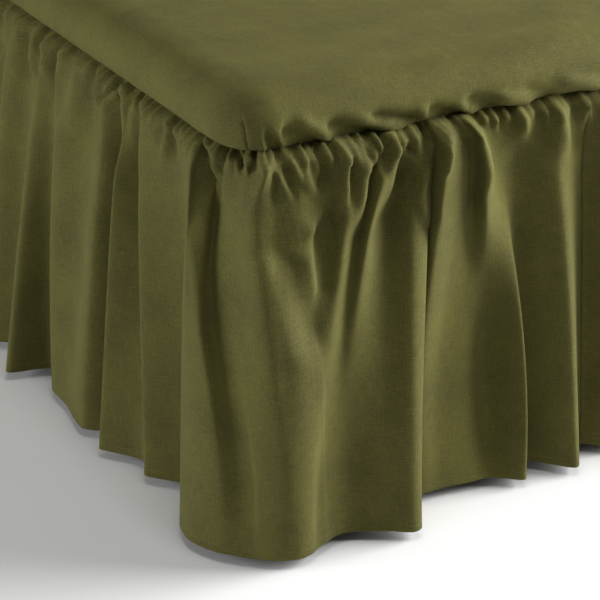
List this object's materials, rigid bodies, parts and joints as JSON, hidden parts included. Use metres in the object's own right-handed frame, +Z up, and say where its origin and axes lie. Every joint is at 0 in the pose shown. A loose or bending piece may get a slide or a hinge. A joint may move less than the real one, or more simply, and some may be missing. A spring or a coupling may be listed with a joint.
{
  "type": "gathered bedspread on a bed",
  "caption": "Fitted bedspread top with a long gathered skirt on three sides, shown on a plain single bed base and topper that it covers.",
  "frame": {"origin": "middle of the bed base's underside, on the floor", "axes": "+Z up, +Y from the foot of the bed to its head, +X across the bed"},
  "size_m": [1.0991, 2.1384, 0.5245],
  "materials": {
    "olive_cotton": "plain woven cotton, matt with a faint sheen",
    "topper_fabric": "off-white cotton ticking",
    "base_fabric": "plain grey-beige woven upholstery"
  },
  "bodies": {
    "root": {"bed_base": "base_fabric", "topper": "topper_fabric", "top_cover": "olive_cotton", "skirt": "olive_cotton"}
  },
  "joints": []
}
